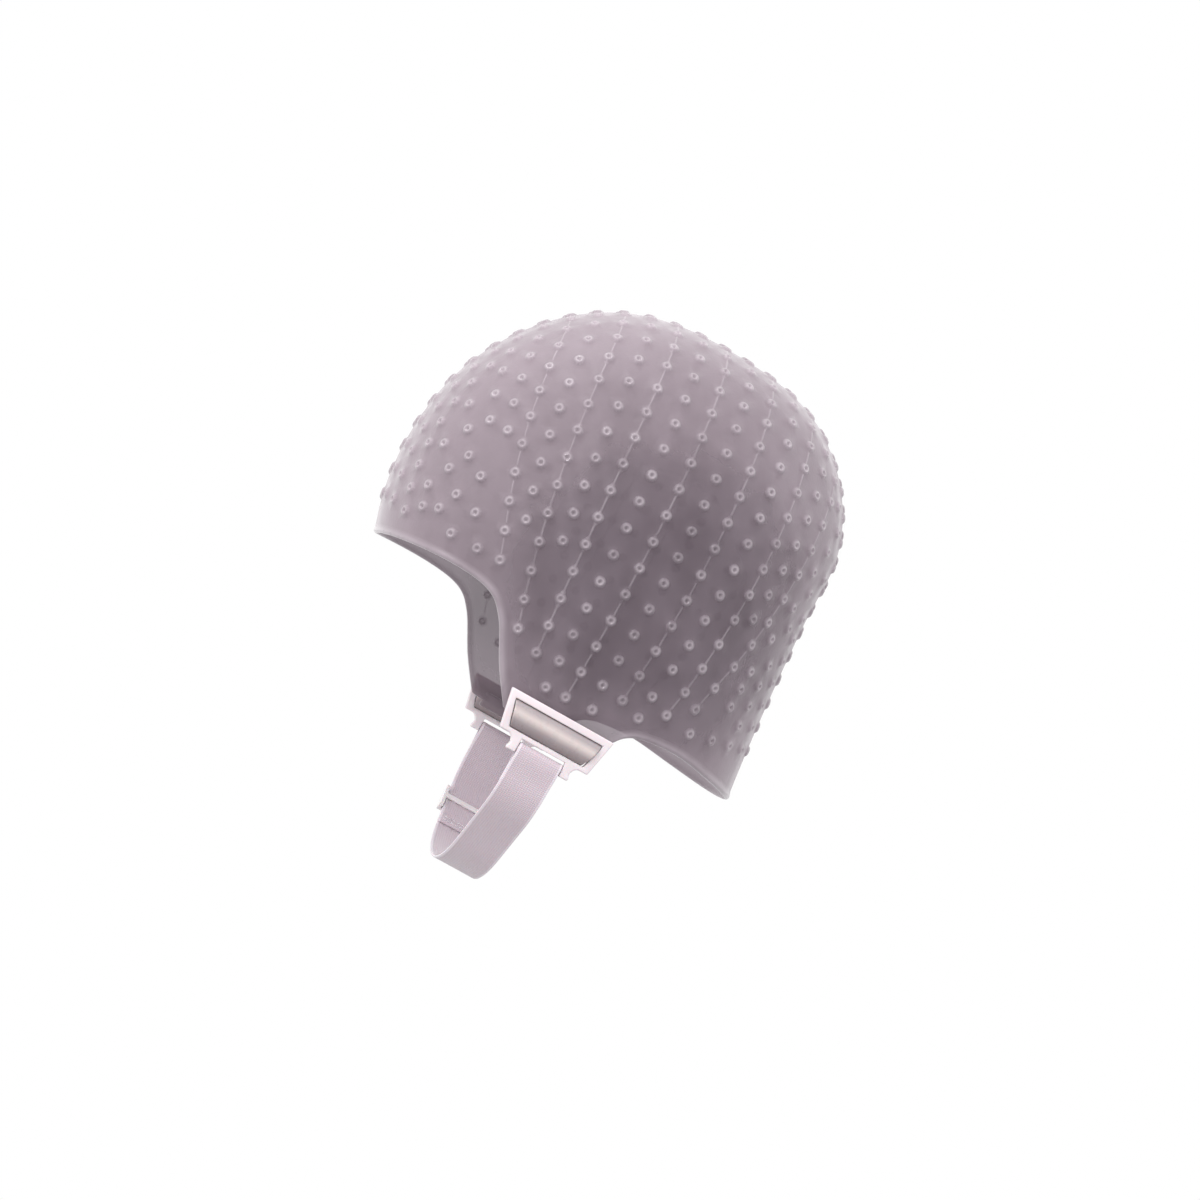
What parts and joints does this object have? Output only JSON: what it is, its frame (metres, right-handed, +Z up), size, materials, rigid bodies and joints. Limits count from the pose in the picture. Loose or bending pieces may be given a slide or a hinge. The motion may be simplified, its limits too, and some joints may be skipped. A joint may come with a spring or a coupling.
{
  "type": "highlighting cap",
  "caption": "Translucent silicone hair highlighting cap with rows of raised pull-hole craters, a moulded buckle at each side and an elastic chin strap with a slider.",
  "frame": {"origin": "middle of the wearer's head inside the cap, at brow and ear level", "axes": "+Z up to the crown, -Y the forehead, +Y the back of the head, +X the wearer's left"},
  "size_m": [0.1584, 0.2285, 0.2749],
  "materials": {
    "silicone": "frosted translucent silicone, satin",
    "white_plastic": "moulded white plastic, semi-gloss",
    "rod_steel": "drawn wire, satin",
    "elastic": "flat woven elastic, matte",
    "thread": "sewing thread, matte"
  },
  "bodies": {
    "cap": {"cap_shell": "silicone"},
    "left_buckle": {"left_buckle_frame": "white_plastic", "left_tab_rod": "rod_steel"},
    "right_buckle": {"right_buckle_frame": "white_plastic", "right_tab_rod": "rod_steel"},
    "strap": {"chin_strap": "elastic", "sewn_end_stitching": "thread", "tail_stitching": "thread"},
    "slider": {"strap_slider": "white_plastic"}
  },
  "joints": [
    {"name": "left_buckle_swing", "type": "hinge", "parent": "cap", "child": "left_buckle", "pos_m": [0.075, -0.0385, -0.08], "axis": [0, 0.8704, -0.4924], "range_deg": [-12, 12]},
    {"name": "strap_swing", "type": "hinge", "parent": "left_buckle", "child": "strap", "pos_m": [0.075, -0.0449, -0.09131], "axis": [0, 0.8704, -0.4924], "range_deg": [-12, 12]},
    {"name": "right_buckle_swing", "type": "hinge", "parent": "cap", "child": "right_buckle", "pos_m": [-0.075, -0.0385, -0.08], "axis": [0, 0.8704, -0.4924], "range_deg": [-12, 12]},
    {"name": "slider_travel", "type": "slide", "parent": "strap", "child": "slider", "axis": [0.725, -0.3392, -0.5995], "range_m": [-0.006, 0.006]}
  ],
  "couplings": [
    {"joint": "strap_swing", "follows": "left_buckle_swing", "ratio": -1},
    {"joint": "right_buckle_swing", "follows": "left_buckle_swing", "ratio": 1}
  ]
}
